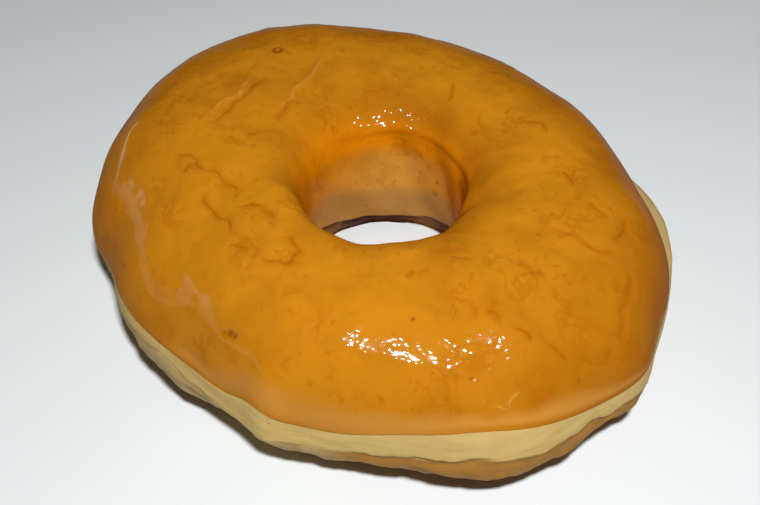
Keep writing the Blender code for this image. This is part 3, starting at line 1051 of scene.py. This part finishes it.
# %% The dough's ragged lower part, band and hole
RAGGED_LOBES = ((7, 0.14, 5.0), (17, 0.12, 11.0), (29, 0.12, 3.0))
RAGGED_NICKS = ((283.0, -2.2, 7.0), (296.0, 0.5, 4.0), (262.0, 0.4, 7.0), (318.0, -0.4, 6.0))
RAGGED_START = np.radians(35.0)
RAGGED_FADE = np.radians(12.0)
DRAWN_OUT = np.array([0.5, 0.5, 1.6])
LONG_FOLDS = (0.30, 2.6, 8.0)
SHORT_FOLDS = (0.12, 1.6, 4.0)
BAND_FROM = (0.3, 1.5)
BAND_LUMPS = ((0.08, 3.0, 2.0), (0.03, 1.2, 7.0))
HOLE_LUMPS = (0.25, 2.5, 3.0)

below_seam = np.clip((seam_column - turns) / RAGGED_FADE, 0, 1)
above_base = np.clip((turns - OUTER_RIM) / RAGGED_START, 0, 1)
lower = below_seam * above_base
raised = raised + lower * varied(direction, 0, RAGGED_LOBES, RAGGED_NICKS)
stretched = plain * DRAWN_OUT
raised = raised + lower * (lumpy(stretched, LONG_FOLDS) + lumpy(plain, SHORT_FOLDS))
band_share = smooth_step(above_seam, *BAND_FROM) * (turns <= edge_column)
raised = raised + band_share * lumpy(stretched, *BAND_LUMPS)
raised = raised + (turns > NARROWEST) * (1 - covered) * lumpy(plain, HOLE_LUMPS)
print("dough raised by", raised.min().round(2), "to", raised.max().round(2), "mm")

# %% The ledge that juts out at one side
LEDGE = (50.0, 2.86, 13.2)
LEDGE_FULL_SHARE = 0.85

share = np.clip((turns - OUTER_RIM) / (edge_column - OUTER_RIM) / LEDGE_FULL_SHARE, 0, 1)
ledge = np.where(turns <= edge_column, (1 - np.cos(share * np.pi)) / 2, 1 - covered)
ledge = np.where(turns > CREST, 0, ledge)
reach_out = only_at(direction, LEDGE) * ledge
print("ledge in mm:", reach_out.max().round(2))

# %% Add the base and make the piece
BASE_DENTS = (0.5, 5.0, 1.0)
DENT_SHARE = 0.2
DEEPEST_DENT = 0.5
COVERED_LEVEL = -8.0
BASE_LEVEL = -12
HOLE_EDGE = 0.05
WARM_IN_HOLE = ((108.0, 1.0, 11.0), (172.0, 1.0, 12.0))
# Where the ledge gets its painted shade.
LEDGE_SHADE = (50.0, 1.0, 14.0)

shown = placed(direction, turns, raised, sideways=reach_out)
shown[..., 2] = np.maximum(shown[..., 2], 0)
shown[:, [0, -1], 2] = 0
share = np.linspace(0, 1, BASE_ROWS + 2)[1:-1][None, :, None]
base = shown[:, -1:] * (1 - share) + shown[:, :1] * share
dents = np.maximum(0, lumpy(base, BASE_DENTS) + DENT_SHARE) * np.sin(np.pi * share[..., 0])
base[..., 2] = np.minimum(dents, DEEPEST_DENT)
on_base = np.ones((DOUGH_DIRECTIONS, BASE_ROWS))
shown_values = {
    "above_seam": (np.where(turns > CREST, COVERED_LEVEL, above_seam), BASE_LEVEL),
    "tanned": (tanned, 1),
    "in_hole": (smooth_step(turns, end_column - HOLE_EDGE, end_column + HOLE_EDGE), 0),
    "warm": (only_at(direction, *WARM_IN_HOLE), 0),
    "ledge": (only_at(direction, LEDGE_SHADE), 0),
}
values = {
    label: np.concatenate([shown_value, base_value * on_base], axis=1)
    for label, (shown_value, base_value) in shown_values.items()
}
dough_body = make_ring("dough_body", np.concatenate([shown, base], axis=1), values, dough)

# %% [markdown]
# ## Riding on the solid
#
# The doughnut has one body, so both pieces ride on it. Together they stand for the solid, which
# is then not shown.

# %% Tie both pieces to the frame
for piece in (dough_body, glaze_coat):
    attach(piece, "root")
    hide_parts("doughnut")
    print(piece.name, "rides on root")

# %% [markdown]
# ## Floor, light and camera
#
# The doughnut lies on a plain pale floor, and the camera looks down on one corner of the frame.

# %% Floor
FLOOR_SIDE = 3.0
FLOOR_DROP = 0.00002
FLOOR_COLOUR = (0.80, 0.845, 0.86, 1.0)

bpy.ops.mesh.primitive_plane_add(size=FLOOR_SIDE, location=(0, 0, -FLOOR_DROP))
floor = bpy.context.object
floor.name = "floor"
floor_material, tree, shader = new_material("pale_floor")
shader.inputs["Base Color"].default_value = FLOOR_COLOUR
shader.inputs["Roughness"].default_value = 0.7
floor.data.materials.append(floor_material)
print("floor:", FLOOR_SIDE, "m wide")

# %% Camera
CAMERA_PLACE = Vector((0.10181, -0.10101, 0.14482))
CAMERA_AIM = Vector((-0.00312, 0.00392, 0.0))
CAMERA_ROLL = 1.19
LENS = 55.98
NEAREST_SEEN = 0.01


def looking(place, aim):
    """The turned axes of something at a place that looks at an aim, with no roll."""
    back = (place - aim).normalized()
    right = Vector((0, 0, 1)).cross(back).normalized()
    return Matrix((right, back.cross(right), back)).transposed()


camera_data = bpy.data.cameras.new("camera")
camera_data.lens = LENS
camera_data.clip_start = NEAREST_SEEN
camera = add_object("camera", camera_data)
roll = Matrix.Rotation(np.radians(-CAMERA_ROLL), 3, "Z")
turned = looking(CAMERA_PLACE, CAMERA_AIM) @ roll
camera.matrix_world = Matrix.Translation(CAMERA_PLACE) @ turned.to_4x4()
scene.camera = camera
print("camera to doughnut in mm:", round((CAMERA_PLACE - CAMERA_AIM).length / MILLIMETRE))

# %% [markdown]
# One small light above the camera makes the short shadow and the highlights on the near
# shoulder. A wide dim one, warm and kept out of the mirror images, fills the far sides. Three
# low strips away to the left are only mirrored in the gloss, as long streaks on that side.


# %% Lights
def add_light(name, place, aim, size, watts):
    """A rectangular area light of a width and height in metres."""
    light = bpy.data.lights.new(name, "AREA")
    light.shape = "RECTANGLE"
    light.size, light.size_y = size
    light.energy = watts
    lamp = add_object(name, light)
    lamp.matrix_world = Matrix.Translation(place) @ looking(place, aim).to_4x4()
    return lamp


KEY_PLACE = Vector((0.145, -0.105, 0.31))
KEY_SIZE = (0.034, 0.024)
KEY_WATTS = 1.33
FILL_PLACE = Vector((0.30, -0.30, 0.40))
FILL_SIZE = (0.3, 0.3)
FILL_WATTS = 0.08
WARM_LIGHT = (1.0, 0.76, 0.52)

add_light("key", KEY_PLACE, Vector((0, 0, 0)), KEY_SIZE, KEY_WATTS)
fill = add_light("fill", FILL_PLACE, Vector((0, 0, 0)), FILL_SIZE, FILL_WATTS)
fill.data.color = WARM_LIGHT
fill.visible_glossy = False

# %% Strips: name, place, size and watts
STRIPS = (
    ("left_strip", (-0.53, -0.09, 0.045), (0.30, 0.05), 0.20),
    ("middle_strip", (-0.45, -0.31, 0.095), (0.24, 0.06), 0.18),
    ("near_strip", (-0.25, -0.45, 0.05), (0.35, 0.04), 0.17),
)
STRIP_AIM = Vector((-0.01, -0.03, 0.02))

for name, place, size, watts in STRIPS:
    strip = add_light(name, Vector(place), STRIP_AIM, size, watts)
    strip.visible_diffuse = False
print("lights:", [light.name for light in bpy.data.lights])

# %% World and view
WORLD_COLOUR = (1.0, 0.80, 0.58, 1.0)
WORLD_STRENGTH = 0.015

world = bpy.data.worlds.new("studio")
world.use_nodes = True
background = world.node_tree.nodes["Background"]
background.inputs["Color"].default_value = WORLD_COLOUR
background.inputs["Strength"].default_value = WORLD_STRENGTH
scene.world = world
scene.view_settings.view_transform = "Standard"
print("world strength:", WORLD_STRENGTH)
